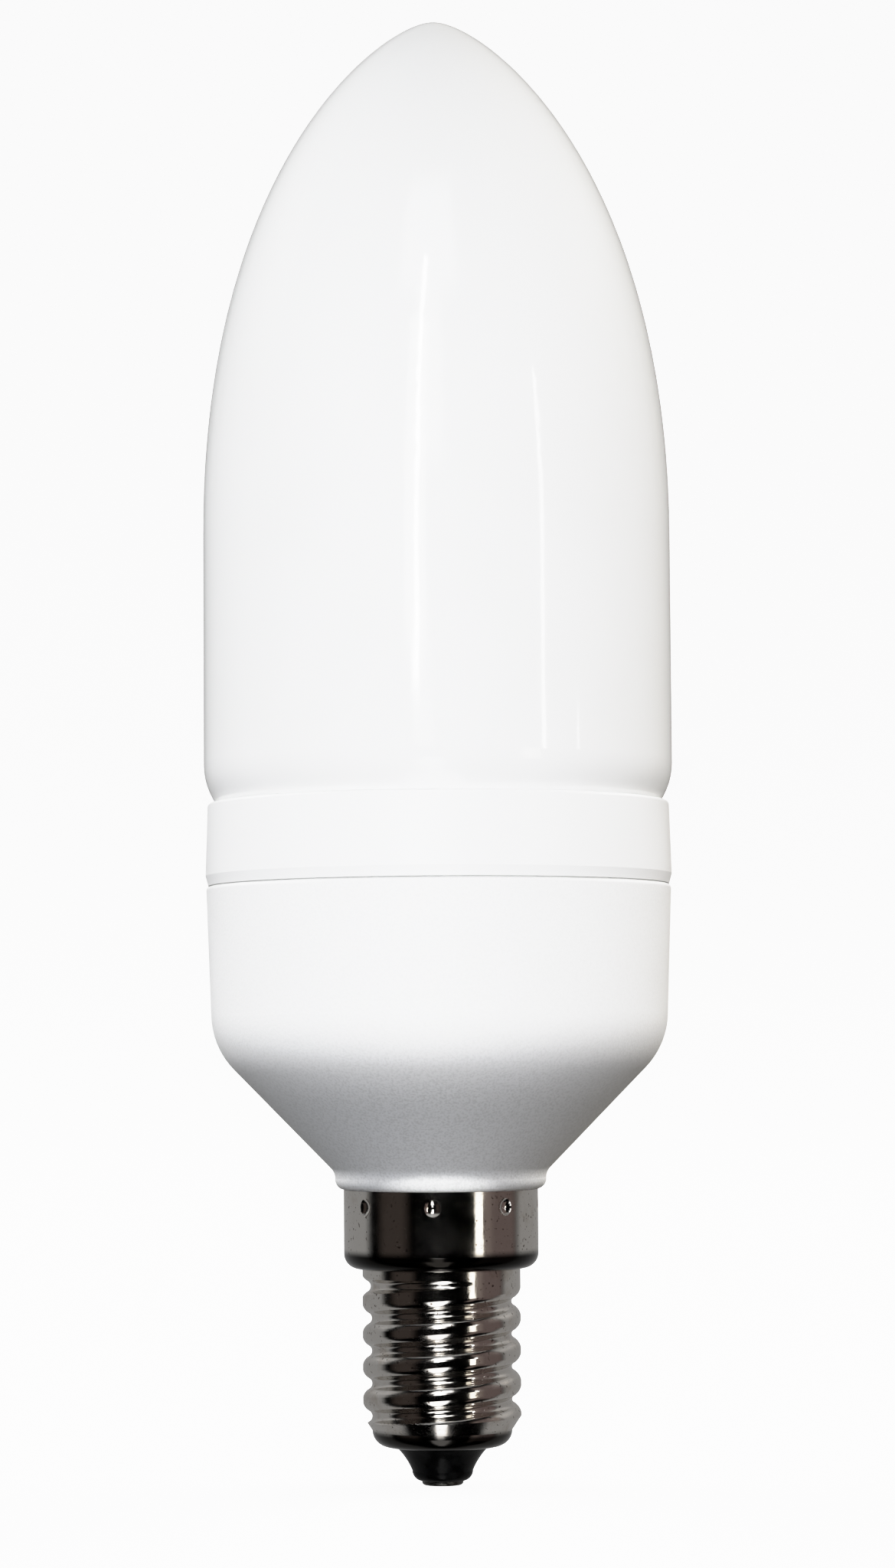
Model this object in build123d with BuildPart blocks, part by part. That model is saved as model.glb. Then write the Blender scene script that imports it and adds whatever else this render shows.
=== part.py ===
from build123d import *
from math import atan2, degrees, sqrt, tan
import os

# A compact candle lamp on a small screw cap, with every outside piece as its own solid, in millimetres.
# The origin is the middle of the contact's underside. +Z runs up the axis to the tip, and -Y is the front.

# Contact and insulator at the cap's end
contact_diameter = 3.6
contact_height = 0.35
contact_edge_radius = 0.25
contact_stem_diameter = 1.6
contact_stem_length = 3.0
insulator_drop = 3.0  # from the cap's closed end down to the contact
insulator_tip_diameter = 5.3
insulator_tip_radius = 0.9
insulator_flank_radius = 6.0  # hollow of the cone's side
insulator_flange_height = 2.4  # the part held inside the cap

# Screw cap: a pressed shell with a rolled right-hand thread and a plain skirt
cap_wall = 0.45
cap_mouth_diameter = 8.4  # hole in the closed end, round the insulator
cap_end_radius = 1.4
thread_diameter = 13.8  # over the crests
thread_depth = 0.8
thread_pitch = 2.822
thread_crest_land = 0.1  # level strip between the two rounds of a ridge
thread_crest_trim = 0.02  # taken off the ridge's top, which is rolled flat
thread_root_share = 0.33  # of the groove's depth and width, for its round root, with the rest for the ridges
thread_height = 15.4  # from the closed end to the skirt
thread_start_height = 1.2  # over which the first turn comes out of the shell
thread_first_height = 2.6  # of the first crest above the closed end, on the +X side
thread_end_drop = 1.6  # below the skirt, where the groove begins to climb out of the shell
thread_end_height = 0.65  # over which it climbs out
thread_end_rise = 0.1  # how far past the crests it climbs
skirt_diameter = 17.0
skirt_height = 6.85
skirt_foot_radius = 1.3
stake_count = 8  # round marks punched into the skirt to hold it on the housing
stake_ball_diameter = 2.0
stake_depth = 0.35
stake_drop = 1.35  # below the skirt's top edge
stake_first_angle = 265.4  # degrees anticlockwise from +X, seen from above

# Housing: straight above, coned below, with a lip that sits on the cap and a neck inside it
housing_height = 26.55  # from the lip's underside to the rim
housing_step = 0.06  # how far its rim stands inside the collar's side
housing_draft = 0.5  # how far the straight side leans in, down to the cone
housing_straight_height = 14.1
housing_shoulder_radius = 7.0
housing_rim_radius = 0.4
housing_wall = 1.6
housing_neck_length = 4.6
lip_overhang = 0.75  # beyond the skirt of the cap
lip_height = 1.5
lip_edge_radius = 0.9
lip_root_radius = 1.2  # of the hollow between the cone and the lip

# Collar: the ring between the housing and the envelope
collar_height = 7.25
collar_step = 0.12  # how far its side stands inside the envelope's
collar_taper = 0.2  # how far the side leans in, up to its rim
collar_bevel_height = 0.9
collar_bevel_depth = 0.25
collar_rim_radius = 0.3
collar_seat_depth = 4.0  # how deep the envelope's neck stands in the collar
collar_spigot_depth = 5.0  # how deep the collar stands in the housing
collar_spigot_wall = 1.6

# Envelope: a straight barrel that closes to a candle tip, and a neck under its rounded shoulder
envelope_height = 69.8  # above the collar
envelope_diameter = 41.2
envelope_wall = 1.0
envelope_neck_step = 1.9  # how far the neck stands inside the barrel
envelope_shoulder_radius = 6.0
envelope_shoulder_rise = 3.4  # from the collar's top to the shoulder's widest point
candle_height = 46.0  # the part that narrows to the tip
candle_flank = 34.0  # how long the flank holds its upright direction
candle_tip_breadth = 3.9  # how long the tip holds its level direction

# Clearances: cap and stem fits, and fits between mouldings
cap_clearance = 0.1
moulding_clearance = 0.15

# Heights along the axis
insulator_foot = contact_height
cap_end = insulator_foot + insulator_drop
cap_floor = cap_end + cap_wall
skirt_foot = cap_end + thread_height
skirt_top = skirt_foot + skirt_height
lip_top = skirt_top + lip_height
housing_top = skirt_top + housing_height
housing_shoulder = housing_top - housing_straight_height
collar_top = housing_top + collar_height
collar_seat = collar_top - collar_seat_depth
envelope_shoulder = collar_top + envelope_shoulder_rise
envelope_top = collar_top + envelope_height
candle_foot = envelope_top - candle_height

# Radii
crest_radius = thread_diameter / 2
root_radius = crest_radius - thread_depth
cap_bore_radius = root_radius - cap_wall
cap_mouth_radius = cap_mouth_diameter / 2
skirt_radius = skirt_diameter / 2
skirt_bore_radius = skirt_radius - cap_wall
lip_radius = skirt_radius + lip_overhang
neck_radius = skirt_bore_radius - cap_clearance
neck_bore_radius = neck_radius - housing_wall
envelope_radius = envelope_diameter / 2
envelope_neck_radius = envelope_radius - envelope_neck_step
collar_radius = envelope_radius - collar_step
collar_top_radius = collar_radius - collar_taper
housing_radius = collar_radius - housing_step
housing_foot_radius = housing_radius - housing_draft
housing_bore_radius = housing_foot_radius - housing_wall
spigot_radius = housing_bore_radius - moulding_clearance

# Stake marks: a ball pressed in from outside, whose centre stays outside the skirt
stake_ball_radius = stake_ball_diameter / 2
stake_radius = skirt_radius - stake_depth + stake_ball_radius
stake_centre = (0, 0, skirt_top - stake_drop)


def corner(section, point):
    """The vertex of a half section that lies at this radius and height."""
    return section.vertices().sort_by_distance(point)[0]


def groove_section(path):
    """Section of the thread's groove at the start of its path: a round root between two round ridges."""
    half_width = (thread_pitch - thread_crest_land) / 2
    ridge_height = thread_depth + thread_crest_trim
    root_height = ridge_height * thread_root_share
    root_half_width = half_width * thread_root_share
    start = path @ 0
    outward = Vector(start.X, start.Y, 0)
    with BuildSketch(Plane(start, x_dir=outward, z_dir=path % 0)) as section:
        with BuildLine():
            root = ThreePointArc(
                (root_height, -root_half_width),
                (0, 0),
                (root_height, root_half_width),
            )
            upper = TangentArc(root @ 1, (ridge_height, half_width), tangent=root % 1)
            lower = TangentArc(root @ 0, (ridge_height, -half_width), tangent=-(root % 0))
            Polyline(
                upper @ 1,
                (2 * thread_depth, half_width),
                (2 * thread_depth, -half_width),
                lower @ 1,
            )
        make_face()
    return section.sketch


def envelope_section(inset):
    """Half section of the envelope, filled to its axis and drawn this far inside its outer face."""
    barrel_radius = envelope_radius - inset
    throat_radius = envelope_neck_radius - inset
    bend_radius = envelope_shoulder_radius - inset
    bend_reach = barrel_radius - throat_radius
    bend_drop = sqrt(2 * bend_radius * bend_reach - bend_reach**2)
    throat_top = (throat_radius, envelope_shoulder - bend_drop)
    tip = (0, envelope_top - inset)
    with BuildSketch(Plane.XZ) as section:
        with BuildLine():
            Polyline(tip, (0, collar_seat), (throat_radius, collar_seat), throat_top)
            bend = TangentArc((barrel_radius, envelope_shoulder), throat_top, tangent=(0, -1))
            barrel = Line(bend @ 0, (barrel_radius, candle_foot))
            Bezier(
                barrel @ 1,
                (barrel_radius, candle_foot + candle_flank),
                (candle_tip_breadth - inset, tip[1]),
                tip,
            )
        make_face()
    return section.sketch


# Centre contact: a low button with a stem let into the insulator
with BuildPart() as centre_contact:
    with BuildSketch():
        Circle(contact_diameter / 2)
    extrude(amount=contact_height)
    fillet(centre_contact.edges().sort_by(Axis.Z)[0], contact_edge_radius)
    with BuildSketch(Plane.XY.offset(contact_height)):
        Circle(contact_stem_diameter / 2)
    extrude(amount=contact_stem_length)
centre_contact.part.label = "centre_contact"

# Insulator: a cone with a hollow side outside the cap, and a flange that rests on the cap's floor
with BuildPart() as insulator:
    tip_radius = insulator_tip_diameter / 2
    flange_radius = cap_bore_radius - cap_clearance
    flange_corner = (flange_radius, cap_floor)
    cone_top = (cap_mouth_radius - cap_clearance, cap_end)
    with BuildSketch(Plane.XZ) as insulator_section:
        with BuildLine():
            foot = Line((0, insulator_foot), (tip_radius - insulator_tip_radius, insulator_foot))
            tip = JernArc(foot @ 1, foot % 1, insulator_tip_radius, 90)
            RadiusArc(tip @ 1, cone_top, insulator_flank_radius)
            Polyline(
                cone_top,
                (cone_top[0], cap_floor),
                flange_corner,
                (flange_radius, cap_floor + insulator_flange_height),
                (0, cap_floor + insulator_flange_height),
                (0, insulator_foot),
            )
        make_face()
        fillet(corner(insulator_section, flange_corner), cap_end_radius - cap_wall)
    revolve(axis=Axis.Z)
    with BuildSketch(Plane.XY.offset(insulator_foot)):
        Circle(contact_stem_diameter / 2 + cap_clearance)
    extrude(amount=contact_stem_length + cap_clearance, mode=Mode.SUBTRACT)
insulator.part.label = "insulator"

# Hollow of the cap: its mouth, its bore and the skirt's inside, less the back of each stake mark
with BuildPart() as cap_hollow:
    end_corner = (cap_bore_radius, cap_floor)
    foot_corner = (skirt_bore_radius, skirt_foot + cap_wall)
    with BuildSketch(Plane.XZ) as hollow_section:
        with BuildLine():
            Polyline(
                (0, cap_end - cap_wall),
                (cap_mouth_radius, cap_end - cap_wall),
                (cap_mouth_radius, cap_floor),
                end_corner,
                (cap_bore_radius, skirt_foot + cap_wall),
                foot_corner,
                (skirt_bore_radius, skirt_top + cap_wall),
                (0, skirt_top + cap_wall),
                close=True,
            )
        make_face()
        fillet(corner(hollow_section, end_corner), cap_end_radius - cap_wall)
        fillet(corner(hollow_section, foot_corner), skirt_foot_radius - cap_wall)
    revolve(axis=Axis.Z)
    with Locations(stake_centre):
        with PolarLocations(stake_radius, stake_count, stake_first_angle):
            Sphere(stake_ball_radius + cap_wall, mode=Mode.SUBTRACT)

# Thread: a right-hand groove that starts a turn below the first root and climbs out of the metal at its end
first_root = cap_end + thread_first_height - thread_pitch / 2
groove_foot = first_root - thread_pitch
groove_end = skirt_foot - thread_end_drop
groove_turns = (groove_end - groove_foot) / thread_pitch
groove = Helix(thread_pitch, groove_end - groove_foot, root_radius, (0, 0, groove_foot))
run_out = Helix(
    thread_pitch,
    thread_end_height,
    root_radius,
    (0, 0, groove_end),
    cone_angle=degrees(atan2(thread_depth + thread_end_rise, thread_end_height)),
)
thread_path = Wire([groove, run_out.rotate(Axis.Z, 360 * groove_turns)])

# Screw shell: a stem with the thread cut round it and a skirt on top, then hollowed and staked
with BuildPart() as screw_shell:
    skirt_corner = (skirt_radius, skirt_foot)
    with BuildSketch(Plane.XZ):
        with BuildLine():
            end = Line((0, cap_end), (root_radius - cap_end_radius, cap_end))
            rounding = JernArc(end @ 1, end % 1, cap_end_radius, 90)
            Polyline(
                rounding @ 1,
                (crest_radius, cap_end + cap_end_radius + thread_start_height),
                (crest_radius, skirt_foot + cap_wall),
                (0, skirt_foot + cap_wall),
                (0, cap_end),
            )
        make_face()
    revolve(axis=Axis.Z)
    sweep(groove_section(thread_path), path=thread_path, is_frenet=True, mode=Mode.SUBTRACT)
    with BuildSketch(Plane.XZ) as skirt_section:
        with BuildLine():
            Polyline((0, skirt_foot), skirt_corner, (skirt_radius, skirt_top), (0, skirt_top), close=True)
        make_face()
        fillet(corner(skirt_section, skirt_corner), skirt_foot_radius)
    revolve(axis=Axis.Z)
    add(cap_hollow.part, mode=Mode.SUBTRACT)
    with Locations(stake_centre):
        with PolarLocations(stake_radius, stake_count, stake_first_angle):
            Sphere(stake_ball_radius, mode=Mode.SUBTRACT)
screw_shell.part.label = "screw_shell"

# Housing: one moulded shell of even wall, with a pocket in its neck for each stake mark
with BuildPart() as housing:
    rim_corner = (housing_radius, housing_top)
    shoulder_corner = (housing_foot_radius, housing_shoulder)
    lip_root = (lip_radius, lip_top)
    lip_foot = (lip_radius, skirt_top)
    cone_angle = atan2(housing_foot_radius - lip_radius, housing_shoulder - lip_top)
    inner_corner = (housing_bore_radius, housing_shoulder + housing_wall * tan(cone_angle / 2))
    inner_cone_drop = (housing_bore_radius - neck_bore_radius) / tan(cone_angle)
    with BuildSketch(Plane.XZ) as housing_section:
        with BuildLine():
            Polyline(
                (housing_bore_radius, housing_top),
                rim_corner,
                shoulder_corner,
                lip_root,
                lip_foot,
                (neck_radius, skirt_top),
                (neck_radius, skirt_top - housing_neck_length),
                (neck_bore_radius, skirt_top - housing_neck_length),
                (neck_bore_radius, inner_corner[1] - inner_cone_drop),
                inner_corner,
                close=True,
            )
        make_face()
        fillet(corner(housing_section, shoulder_corner), housing_shoulder_radius)
        fillet(corner(housing_section, inner_corner), housing_shoulder_radius - housing_wall)
        fillet(corner(housing_section, rim_corner), housing_rim_radius)
        fillet(corner(housing_section, lip_root), lip_root_radius)
        fillet(corner(housing_section, lip_foot), lip_edge_radius)
    revolve(axis=Axis.Z)
    with Locations(stake_centre):
        with PolarLocations(stake_radius, stake_count, stake_first_angle):
            Sphere(stake_ball_radius + cap_wall + cap_clearance, mode=Mode.SUBTRACT)
housing.part.label = "housing"

# Collar: a ring with a spigot in the housing, a ledge for the envelope and a flare that follows its shoulder
with BuildPart() as collar:
    top_corner = (collar_top_radius, collar_top)
    seat_radius = envelope_neck_radius + moulding_clearance
    ledge_radius = spigot_radius - collar_spigot_wall
    with BuildSketch(Plane.XZ) as collar_section:
        with BuildLine():
            Polyline(
                (ledge_radius, housing_top - collar_spigot_depth),
                (spigot_radius, housing_top - collar_spigot_depth),
                (spigot_radius, housing_top),
                (collar_radius - collar_bevel_depth, housing_top),
                (collar_radius, housing_top + collar_bevel_height),
                top_corner,
                (seat_radius, collar_top),
                (seat_radius, collar_seat),
                (ledge_radius, collar_seat),
                close=True,
            )
        make_face()
        fillet(corner(collar_section, top_corner), collar_rim_radius)
        with Locations((envelope_radius - envelope_shoulder_radius, envelope_shoulder)):
            Circle(envelope_shoulder_radius + moulding_clearance, mode=Mode.SUBTRACT)
    revolve(axis=Axis.Z)
collar.part.label = "collar"

# Envelope: one blown wall, from the neck round the shoulder and up the barrel to the tip
with BuildPart() as envelope:
    revolve(envelope_section(0), axis=Axis.Z)
    revolve(envelope_section(envelope_wall), axis=Axis.Z, mode=Mode.SUBTRACT)
envelope.part.label = "envelope"

# One file for each piece
os.makedirs("parts", exist_ok=True)
for piece in (centre_contact, insulator, screw_shell, housing, collar, envelope):
    export_step(piece.part, f"parts/{piece.part.label}.step")
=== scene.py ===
import math

import bmesh
import bpy
from mathutils import Matrix, Vector


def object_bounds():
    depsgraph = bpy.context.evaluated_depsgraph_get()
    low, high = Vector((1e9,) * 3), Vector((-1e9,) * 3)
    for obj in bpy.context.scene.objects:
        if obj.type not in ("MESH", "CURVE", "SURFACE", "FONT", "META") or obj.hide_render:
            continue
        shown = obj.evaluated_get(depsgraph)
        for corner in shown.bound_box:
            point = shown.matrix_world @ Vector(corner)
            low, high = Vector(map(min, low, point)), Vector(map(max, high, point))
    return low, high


# The lamp's looks, in metres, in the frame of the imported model: +Z up the axis to the tip, -Y to the viewer.
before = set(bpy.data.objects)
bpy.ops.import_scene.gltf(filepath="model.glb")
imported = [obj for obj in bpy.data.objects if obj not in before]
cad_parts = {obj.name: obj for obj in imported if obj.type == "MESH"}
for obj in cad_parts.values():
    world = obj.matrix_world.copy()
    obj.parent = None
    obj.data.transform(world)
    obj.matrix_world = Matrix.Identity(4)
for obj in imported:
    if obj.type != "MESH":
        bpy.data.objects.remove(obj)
cad_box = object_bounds()
scene = bpy.context.scene

MM = 0.001

# Camera: on the lamp's front, a little above the cap and looking slightly up
EYE_DISTANCE = 340 * MM
EYE_HEIGHT = 38.1 * MM
EYE_SIDE = 0.83 * MM
AIM_HEIGHT = 61.1 * MM
LENS_MM = 88.8
SENSOR_MM = 36
CAMERA_ROLL = math.radians(-0.4)

# Tone: even up to the pale greys, then a soft shoulder, as (light, share of white shown)
TONE_WHITE = 2.0
TONE_SHOULDER = ((0.3, 0.3), (0.6, 0.61), (0.9, 0.83), (1.2, 0.915), (1.6, 0.96))
TONE_TOP = 0.985

# Stage: a round sweep, level in the middle and rising all round
STAGE_FLAT = 0.7
STAGE_BEND = 0.5
STAGE_HEIGHT = 3.0
STAGE_FLAT_STEPS = 6
STAGE_BEND_STEPS = 24
STAGE_TURNS = 96
STAGE_COLOUR = (0.3, 0.3, 0.3, 1)
STAGE_GLOW = 1.5

# Front light: a level soft light on the whole lamp, a beam on all above the cone and a low beam on the lip
# below it. A share is the brightness that the light gives a white face square to it.
FRONT_AZIMUTH = -5.2
FRONT_ELEVATION = 2.4
FRONT_DISTANCE = 0.5
FRONT_SIZE = 0.06
FRONT_COLOUR = (0.955, 0.975, 1.03)
FRONT_SHARE = 0.54
BEAM_SHARE = 0.74
BEAM_FOOT = 32.4 * MM  # height at which its lower edge meets the lamp's axis
BEAM_SPREAD = math.radians(28)
BEAM_EDGE = 0.068
BEAM_SIZE = 3 * MM
LIP_SHARE = 0.6
LIP_DISTANCE = 0.14
LIP_HEIGHT = 26.1 * MM
LIP_BEAM_SPREAD = math.radians(1.03)
LIP_BEAM_BREADTH = 5  # times its height
LIP_BEAM_EDGE = 1  # soft all the way in
LIP_BEAM_SIZE = 0.2 * MM

# Room, in patches of (colour, azimuth from the front to the right, elevation, softness of the edges), in
# degrees. Matt faces are lit by two soft banks, left and right and a little behind the lamp, and by dim ones
# low down.
BANKS = (
    ((16.0, 16.0, 16.0), (-150, -93), (25, 39), 12),
    ((18.5, 18.1, 17.5), (92, 150), (25, 39), 12),
    ((0.25, 0.255, 0.265), (-100, -35), (-35, 5), 10),
    ((0.29, 0.25, 0.20), (35, 100), (-35, 5), 10),
)
# Glossy faces see a grey back, dim brown sides, and brightness in front, below and above the camera.
SIGHTS = (
    ((0.32, 0.32, 0.32), (-190, -95), (-72, 50), 8),
    ((0.32, 0.315, 0.31), (102, 190), (-72, 50), 8),
    ((0.045, 0.036, 0.032), (-76, -41), (-40, 50), 8),
    ((0.20, 0.16, 0.145), (50, 62), (-50, 50), 5),
    ((0.14, 0.106, 0.10), (62, 98), (-40, 50), 6),
    ((2.6, 2.6, 2.6), (-10, 3), (-36, -13), 3),
    ((2.6, 2.6, 2.6), (-21, 14), (-80, -36), 4),
    ((2.6, 2.6, 2.6), (-10, 3), (13, 36), 3),
    ((2.6, 2.6, 2.6), (-21, 14), (36, 58), 4),
)

# Strips that show in what is glossy, each from one point to another, as (azimuth, elevation, distance), with
# its width, brightness and colour
WHITE = (1.0, 1.0, 1.0)
CREAM = (1.0, 0.95, 0.85)
STRIPS = {
    "strip_overhead": ((-9.4, 5.8, 0.4), (-5.5, 44, 0.45), 0.012, 22.0, WHITE),
    "lamp_overhead": ((-10, 5.4, 0.4), (-10, 6.6, 0.4), 0.024, 16.0, WHITE),
    "glow_overhead": ((-10, 6.5, 0.41), (-8, 34, 0.46), 0.07, 4.0, WHITE),
    "panel_right": ((45.5, -11.5, 1.0), (45.5, 1, 1.0), 0.16, 3.0, CREAM),
    "strip_right": ((52, 2, 1.0), (52, 24, 1.0), 0.03, 14.0, WHITE),
    "strip_far_right": ((71, 3.9, 1.0), (71, 4.85, 1.0), 0.02, 14.0, WHITE),
}

# Marks on the surfaces, by height up the lamp. A band comes in between its first two heights and goes out
# between its last two.
SEAM_BAND = (51.95 * MM, 52.1 * MM, 52.15 * MM, 52.25 * MM)
# Painted shade: the nickel turns near black round the skirt's foot, in the corner under the skirt.
SKIRT_SHADE_BAND = (18.6 * MM, 18.9 * MM, 19.9 * MM, 20.6 * MM)
# Painted shade: below these heights the nickel goes near black at the shell's closed end, in place of its
# glint.
SHELL_END_SHADE = (4.4 * MM, 5.1 * MM)
CONE_MOTTLE = (33 * MM, 40 * MM)
CANDLE_TIP = (85 * MM, 120 * MM)


def make_camera():
    data = bpy.data.cameras.new("camera")
    data.lens = LENS_MM
    data.sensor_width = SENSOR_MM
    camera = bpy.data.objects.new("camera", data)
    scene.collection.objects.link(camera)
    eye = Vector((EYE_SIDE, -EYE_DISTANCE, EYE_HEIGHT))
    aim = Vector((EYE_SIDE, 0, AIM_HEIGHT))
    turn = (aim - eye).to_track_quat("-Z", "Y").to_matrix() @ Matrix.Rotation(CAMERA_ROLL, 3, "Z")
    camera.matrix_world = Matrix.Translation(eye) @ turn.to_4x4()
    scene.camera = camera


# Node helpers


def new_material(name):
    """A material with its shader, and the node tree to build on."""
    material = bpy.data.materials.new(name)
    material.use_nodes = True
    tree = material.node_tree
    return material, tree, tree.nodes["Principled BSDF"]


def node(tree, kind, inputs=(), **settings):
    """A node with its settings, its inputs given as (socket, value or another node's output)."""
    made = tree.nodes.new(kind)
    for name, value in settings.items():
        setattr(made, name, value)
    for socket, value in dict(inputs).items():
        if isinstance(value, bpy.types.NodeSocket):
            tree.links.new(value, made.inputs[socket])
        else:
            made.inputs[socket].default_value = value
    return made


def place(tree):
    """The surface point in the lamp's frame."""
    return node(tree, "ShaderNodeTexCoord").outputs["Object"]


def stretched(tree, point, scale):
    """The point with each axis multiplied."""
    made = node(tree, "ShaderNodeVectorMath", {0: point, 1: scale}, operation="MULTIPLY")
    return made.outputs[0]


def noise(tree, point, size, detail=2.0, roughness=0.5):
    """Cloudy noise whose features are about this large, in metres."""
    made = node(
        tree,
        "ShaderNodeTexNoise",
        {"Vector": point, "Scale": 1 / size, "Detail": detail, "Roughness": roughness},
    )
    return made.outputs["Fac"]


def spread(tree, value, low, high, to_low=0.0, to_high=1.0):
    """Value from low to high mapped smoothly to the other two."""
    made = node(
        tree,
        "ShaderNodeMapRange",
        {"Value": value, "From Min": low, "From Max": high, "To Min": to_low, "To Max": to_high},
        interpolation_type="SMOOTHSTEP",
    )
    return made.outputs["Result"]


def combined(tree, first, second, operation):
    made = node(tree, "ShaderNodeMath", {0: first, 1: second}, operation=operation)
    return made.outputs[0]


def band(tree, height, marks):
    """1 between the two middle heights, falling softly to 0 at the outer two."""
    rise = spread(tree, height, marks[0], marks[1])
    fall = spread(tree, height, marks[2], marks[3], 1, 0)
    return combined(tree, rise, fall, "MULTIPLY")


def between(tree, share, first, second):
    """A colour between two colours."""
    made = tree.nodes.new("ShaderNodeMix")
    made.data_type = "RGBA"
    sockets = [s for s in made.inputs if s.type == "RGBA"]
    for socket, value in zip(sockets, (first, second)):
        if isinstance(value, bpy.types.NodeSocket):
            tree.links.new(value, socket)
        else:
            socket.default_value = value
    tree.links.new(share, made.inputs["Factor"])
    return next(s for s in made.outputs if s.type == "RGBA")


def bumped(tree, height, depth, normal=None):
    """The surface's direction with this height, at most this deep, pressed into it."""
    inputs = {"Height": height, "Distance": depth, "Strength": 1.0}
    if normal is not None:
        inputs["Normal"] = normal
    return node(tree, "ShaderNodeBump", inputs).outputs["Normal"]


def axes(tree, point):
    made = node(tree, "ShaderNodeSeparateXYZ", {0: point})
    return made.outputs["X"], made.outputs["Y"], made.outputs["Z"]


# Materials


def opal_glass():
    """Blown opal glass: milky, glossy, with soft waves in the wall and a faint grain."""
    material, tree, shader = new_material("opal_glass")
    point = place(tree)
    clouds = noise(tree, point, 14 * MM, 3)
    grain = noise(tree, point, 0.35 * MM, 2)
    cloudy = spread(tree, clouds, 0.35, 0.65)
    milk = between(tree, cloudy, (0.888, 0.888, 0.880, 1), (0.905, 0.905, 0.900, 1))
    up = axes(tree, point)[2]
    # Towards the tip the milk becomes an even grey without the clouds.
    tip_milk = between(tree, spread(tree, up, *CANDLE_TIP), milk, (0.90, 0.90, 0.89, 1))
    tree.links.new(tip_milk, shader.inputs["Base Color"])
    tree.links.new(spread(tree, grain, 0.3, 0.7, 0.05, 0.11), shader.inputs["Roughness"])
    waves = bumped(tree, noise(tree, stretched(tree, point, (1, 1, 0.35)), 9 * MM), 0.05 * MM)
    tree.links.new(bumped(tree, grain, 0.0015 * MM, waves), shader.inputs["Normal"])
    shader.inputs["IOR"].default_value = 1.5
    return material


def moulded(name, colour, shade, gloss, grain_size, grain_depth):
    """White moulding with a fine grain, clouds in its gloss, darker mottling strongest on the cone, and a dark
    seam.
    """
    material, tree, shader = new_material(name)
    point = place(tree)
    clouds = noise(tree, point, 7 * MM, 4)
    grain = noise(tree, point, grain_size, 3, 0.6)
    up = axes(tree, point)[2]
    mottle = spread(tree, noise(tree, point, 0.2 * MM, 2), 0.4, 0.7)
    # Darker mottling, full on the cone below the shoulder and a quarter as strong above it.
    mottle_share = spread(tree, up, *CONE_MOTTLE, 1, 0.25)
    tint = between(tree, combined(tree, mottle, mottle_share, "MULTIPLY"), colour, shade)
    seamed = between(tree, band(tree, up, SEAM_BAND), tint, (0.66, 0.66, 0.65, 1))
    tree.links.new(seamed, shader.inputs["Base Color"])
    tree.links.new(spread(tree, clouds, 0.3, 0.7, gloss[0], gloss[1]), shader.inputs["Roughness"])
    tree.links.new(bumped(tree, grain, grain_depth), shader.inputs["Normal"])
    return material


def nickel_plate():
    """Bright nickel on pressed brass: mirror-like, stained and speckled, with painted shade under the skirt
    and at the closed end.
    """
    material, tree, shader = new_material("nickel_plate")
    point = place(tree)
    clouds = noise(tree, point, 3 * MM, 4, 0.6)
    specks = noise(tree, point, 0.3 * MM, 2)
    marks = noise(tree, stretched(tree, point, (1, 1, 0.08)), 0.25 * MM, 2)
    stain = between(tree, spread(tree, clouds, 0.5, 0.75), (0.68, 0.655, 0.62, 1), (0.52, 0.47, 0.42, 1))
    speckled = between(tree, spread(tree, specks, 0.64, 0.71), stain, (0.16, 0.13, 0.11, 1))
    up = axes(tree, point)[2]
    # Painted shade: the closed end of the shell turned near black in place of its glint.
    shaded_end = between(tree, spread(tree, up, *SHELL_END_SHADE), (0.03, 0.028, 0.026, 1), speckled)
    # Painted shade: the corner under the skirt turned near black in place of its highlight.
    shaded_under_skirt = between(tree, band(tree, up, SKIRT_SHADE_BAND), shaded_end, (0.01, 0.009, 0.008, 1))
    tree.links.new(shaded_under_skirt, shader.inputs["Base Color"])
    tree.links.new(spread(tree, clouds, 0.3, 0.75, 0.07, 0.17), shader.inputs["Roughness"])
    dents = bumped(tree, clouds, 0.012 * MM)
    tree.links.new(bumped(tree, marks, 0.0012 * MM, dents), shader.inputs["Normal"])
    shader.inputs["Metallic"].default_value = 1
    return material


def black_glass():
    """Black pressed glass, glossy, with dull patches."""
    material, tree, shader = new_material("black_glass")
    point = place(tree)
    clouds = noise(tree, point, 1.2 * MM, 3)
    tint = between(tree, spread(tree, clouds, 0.4, 0.7), (0.002, 0.002, 0.002, 1), (0.006, 0.006, 0.006, 1))
    tree.links.new(tint, shader.inputs["Base Color"])
    tree.links.new(spread(tree, clouds, 0.3, 0.7, 0.15, 0.35), shader.inputs["Roughness"])
    shader.inputs["Specular IOR Level"].default_value = 0.06
    tree.links.new(bumped(tree, clouds, 0.02 * MM), shader.inputs["Normal"])
    return material


def contact_metal():
    """Tinned contact, dull and a little pitted."""
    material, tree, shader = new_material("contact_metal")
    point = place(tree)
    pits = noise(tree, point, 0.25 * MM, 3)
    tint = between(tree, spread(tree, pits, 0.35, 0.65), (0.06, 0.058, 0.055, 1), (0.13, 0.127, 0.12, 1))
    tree.links.new(tint, shader.inputs["Base Color"])
    tree.links.new(spread(tree, pits, 0.3, 0.7, 0.3, 0.5), shader.inputs["Roughness"])
    tree.links.new(bumped(tree, pits, 0.02 * MM), shader.inputs["Normal"])
    shader.inputs["Metallic"].default_value = 1
    return material


def finish_node(name, material):
    """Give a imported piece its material."""
    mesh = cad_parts[name].data
    mesh.materials.clear()
    mesh.materials.append(material)


# Stage and light


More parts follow.
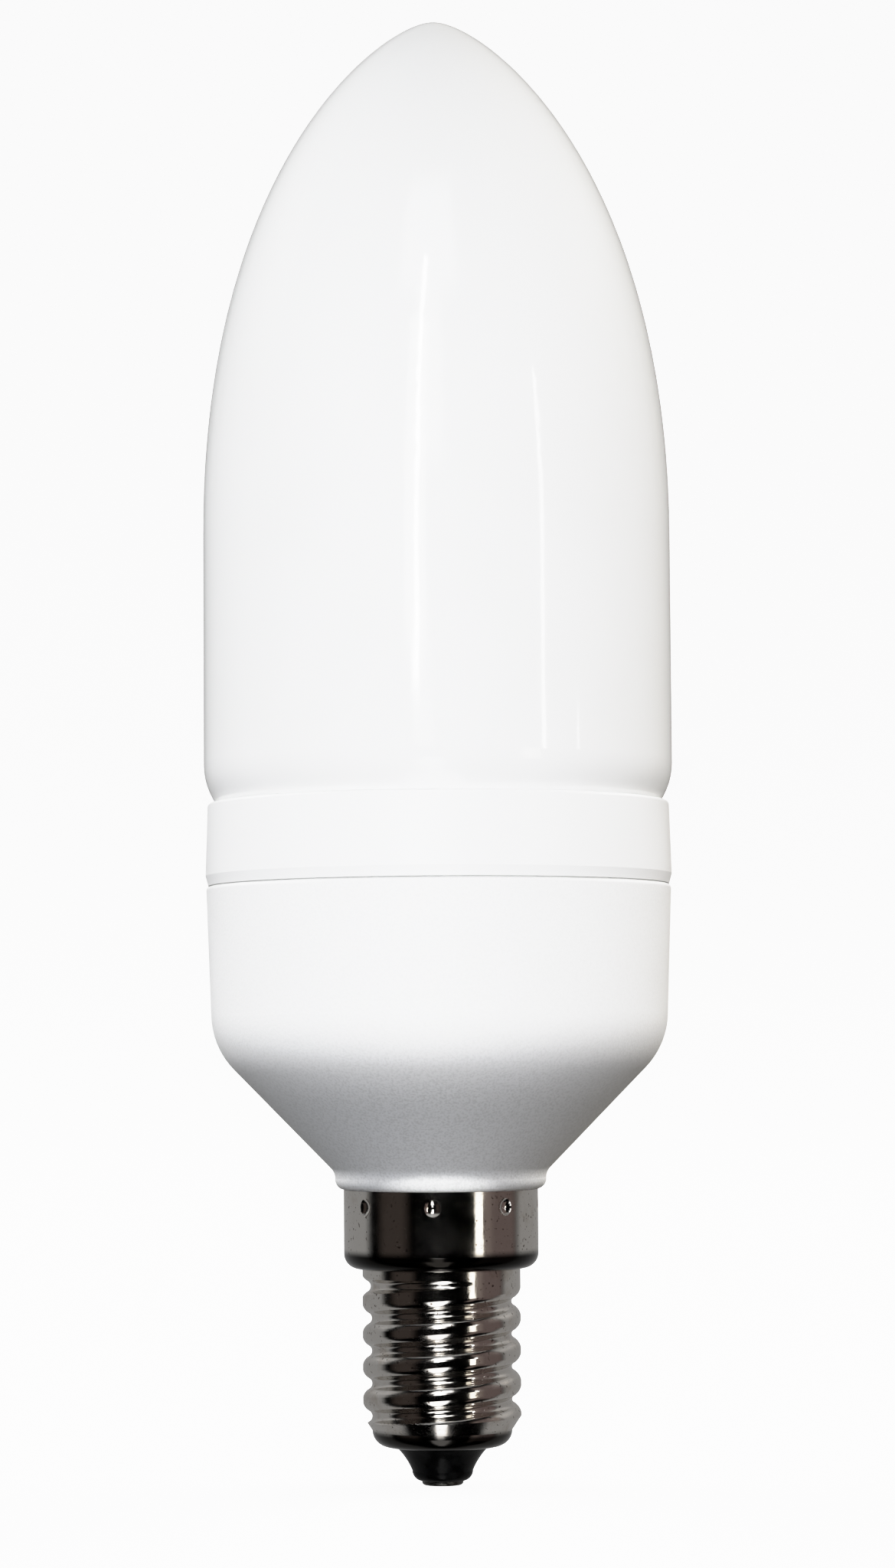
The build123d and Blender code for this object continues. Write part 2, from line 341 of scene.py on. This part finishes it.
def make_stage():
    """A pale sweep: a level floor that bends up all round, seen by the camera alone."""
    profile = [(STAGE_FLAT * i / STAGE_FLAT_STEPS, 0) for i in range(1, STAGE_FLAT_STEPS + 1)]
    for i in range(1, STAGE_BEND_STEPS + 1):
        bend = math.pi / 2 * i / STAGE_BEND_STEPS
        profile.append((STAGE_FLAT + STAGE_BEND * math.sin(bend), STAGE_BEND * (1 - math.cos(bend))))
    profile.append((STAGE_FLAT + STAGE_BEND, STAGE_HEIGHT))
    shape = bmesh.new()
    rings = []
    for radius, height in profile:
        ring = []
        for i in range(STAGE_TURNS):
            angle = 2 * math.pi * i / STAGE_TURNS
            ring.append(shape.verts.new((radius * math.cos(angle), radius * math.sin(angle), height)))
        rings.append(ring)
    middle = shape.verts.new((0, 0, 0))
    for i in range(STAGE_TURNS):
        j = (i + 1) % STAGE_TURNS
        shape.faces.new((middle, rings[0][i], rings[0][j]))
        for inner, outer in zip(rings, rings[1:]):
            shape.faces.new((inner[i], outer[i], outer[j], inner[j]))
    mesh = bpy.data.meshes.new("sweep")
    shape.to_mesh(mesh)
    shape.free()
    mesh.polygons.foreach_set("use_smooth", [True] * len(mesh.polygons))
    sweep = bpy.data.objects.new("sweep", mesh)
    scene.collection.objects.link(sweep)
    material, _, shader = new_material("sweep_paper")
    shader.inputs["Base Color"].default_value = STAGE_COLOUR
    shader.inputs["Roughness"].default_value = 1
    shader.inputs["Specular IOR Level"].default_value = 0
    shader.inputs["Emission Color"].default_value = (1, 1, 1, 1)
    shader.inputs["Emission Strength"].default_value = STAGE_GLOW
    mesh.materials.append(material)
    sweep.visible_diffuse = False
    sweep.visible_glossy = False
    sweep.visible_shadow = False


def window(tree, angle, low, high, edge):
    """1 where an angle lies between two others, given in degrees, and falling softly to 0 at each."""
    low, high, edge = (math.radians(value) for value in (low, high, edge))
    rise = spread(tree, angle, low - edge, low + edge)
    fall = spread(tree, angle, high - edge, high + edge, 1.0, 0.0)
    return combined(tree, rise, fall, "MULTIPLY")


def patches(tree, azimuth, elevation, listed):
    """The sum of the patches of light listed."""
    total = (0, 0, 0)
    for colour, turn, height, edge in listed:
        across = window(tree, azimuth, *turn, edge)
        upward = window(tree, elevation, *height, edge)
        share = combined(tree, across, upward, "MULTIPLY")
        patch = node(tree, "ShaderNodeVectorMath", {0: colour, "Scale": share}, operation="SCALE").outputs[0]
        total = node(tree, "ShaderNodeVectorMath", {0: patch, 1: total}, operation="ADD").outputs[0]
    return total


def make_room():
    """One room for what is matt, one for what is glossy, and the stage's white for the camera."""
    world = bpy.data.worlds.new("room")
    world.use_nodes = True
    tree = world.node_tree
    background = tree.nodes["Background"]
    way = node(tree, "ShaderNodeTexCoord").outputs["Generated"]
    across, along, up = axes(tree, way)
    elevation = node(tree, "ShaderNodeMath", {0: up}, operation="ARCSINE").outputs[0]
    toward = combined(tree, along, -1.0, "MULTIPLY")
    azimuth = combined(tree, across, toward, "ARCTAN2")
    paths = node(tree, "ShaderNodeLightPath").outputs
    lit = between(
        tree,
        paths["Is Glossy Ray"],
        patches(tree, azimuth, elevation, BANKS),
        patches(tree, azimuth, elevation, SIGHTS),
    )
    seen = between(tree, paths["Is Camera Ray"], lit, (STAGE_GLOW, STAGE_GLOW, STAGE_GLOW, 1))
    tree.links.new(seen, background.inputs["Color"])
    scene.world = world


def set_tone():
    """Pale greys rise softly to white, as on film."""
    scene.view_settings.view_transform = "Standard"
    scene.view_settings.use_curve_mapping = True
    mapping = scene.view_settings.curve_mapping
    mapping.white_level = (TONE_WHITE, TONE_WHITE, TONE_WHITE)
    curve = mapping.curves[3]
    curve.points[-1].location = (1, TONE_TOP)
    for light, shown in TONE_SHOULDER:
        curve.points.new(light / TONE_WHITE, shown)
    mapping.update()


def strip_light(name, start, end, width, brightness, colour):
    """A strip of light from one point to another that faces the lamp and shows in what is glossy."""
    start, end = Vector(start), Vector(end)
    along = end - start
    middle = (start + end) / 2
    data = bpy.data.lights.new(name, "AREA")
    data.shape = "RECTANGLE"
    data.size = width
    data.size_y = along.length
    data.color = colour
    data.energy = brightness * math.pi * width * along.length
    light = bpy.data.objects.new(name, data)
    scene.collection.objects.link(light)
    back = (middle - along.normalized() * middle.dot(along.normalized())).normalized()
    side = along.normalized().cross(back)
    turn = Matrix((side, along.normalized(), back)).transposed()
    light.matrix_world = Matrix.Translation(middle) @ turn.to_4x4()
    light.visible_diffuse = False


def front_lights():
    """A soft light in front, a beam from the same place on all above the cone, and a beam on the lip alone."""
    source = Vector(point_at(FRONT_AZIMUTH, FRONT_ELEVATION, FRONT_DISTANCE))
    soft = bpy.data.lights.new("front", "AREA")
    soft.size = FRONT_SIZE
    soft.color = FRONT_COLOUR
    soft.energy = FRONT_SHARE * (math.pi * FRONT_DISTANCE) ** 2
    beam = spot("beam", BEAM_SHARE, BEAM_SPREAD, FRONT_DISTANCE, BEAM_EDGE, BEAM_SIZE)
    lip_beam = spot("lip_beam", LIP_SHARE, LIP_BEAM_SPREAD, LIP_DISTANCE, LIP_BEAM_EDGE, LIP_BEAM_SIZE)
    lower_edge = math.atan2(BEAM_FOOT - source.z, FRONT_DISTANCE)
    beam_rise = FRONT_DISTANCE * math.tan(lower_edge + BEAM_SPREAD / 2)
    aim_light(soft, source, AIM_HEIGHT)
    aim_light(beam, source, source.z + beam_rise)
    aim_light(lip_beam, (0, -LIP_DISTANCE, LIP_HEIGHT), LIP_HEIGHT).scale.x = LIP_BEAM_BREADTH


def spot(name, share, spread_angle, distance, edge, size):
    """A spot light of this size, this bright on a white face at this distance."""
    data = bpy.data.lights.new(name, "SPOT")
    data.spot_size = spread_angle
    data.spot_blend = edge
    data.shadow_soft_size = size
    data.energy = share * (2 * math.pi * distance) ** 2
    return data


def aim_light(data, source, height):
    """Point a light at this height on the lamp's axis, for what is matt."""
    light = bpy.data.objects.new(data.name, data)
    scene.collection.objects.link(light)
    light.location = source
    way = Vector((0, 0, height)) - light.location
    light.rotation_euler = way.to_track_quat("-Z", "Y").to_euler()
    light.visible_glossy = False
    light.visible_camera = False
    return light


def point_at(azimuth, elevation, distance):
    """A point seen from the lamp's middle: azimuth from the front to the right and elevation, in degrees."""
    a, e = math.radians(azimuth), math.radians(elevation)
    level = distance * math.cos(e)
    middle = (cad_box[0].z + cad_box[1].z) / 2
    return (level * math.sin(a), -level * math.cos(a), middle + distance * math.sin(e))


set_tone()
make_camera()
make_stage()
make_room()
front_lights()
for strip, (start, end, width, brightness, colour) in STRIPS.items():
    strip_light(strip, point_at(*start), point_at(*end), width, brightness, colour)

finish_node("envelope", opal_glass())
finish_node("collar", moulded(
    "collar_plastic",
    colour=(0.93, 0.93, 0.925, 1),
    shade=(0.915, 0.915, 0.905, 1),
    gloss=(0.32, 0.42),
    grain_size=0.3 * MM,
    grain_depth=0.002 * MM,
))
finish_node("housing", moulded(
    "housing_plastic",
    colour=(0.93, 0.93, 0.925, 1),
    shade=(0.79, 0.79, 0.78, 1),
    gloss=(0.42, 0.55),
    grain_size=0.28 * MM,
    grain_depth=0.03 * MM,
))
finish_node("screw_shell", nickel_plate())
finish_node("insulator", black_glass())
finish_node("centre_contact", contact_metal())
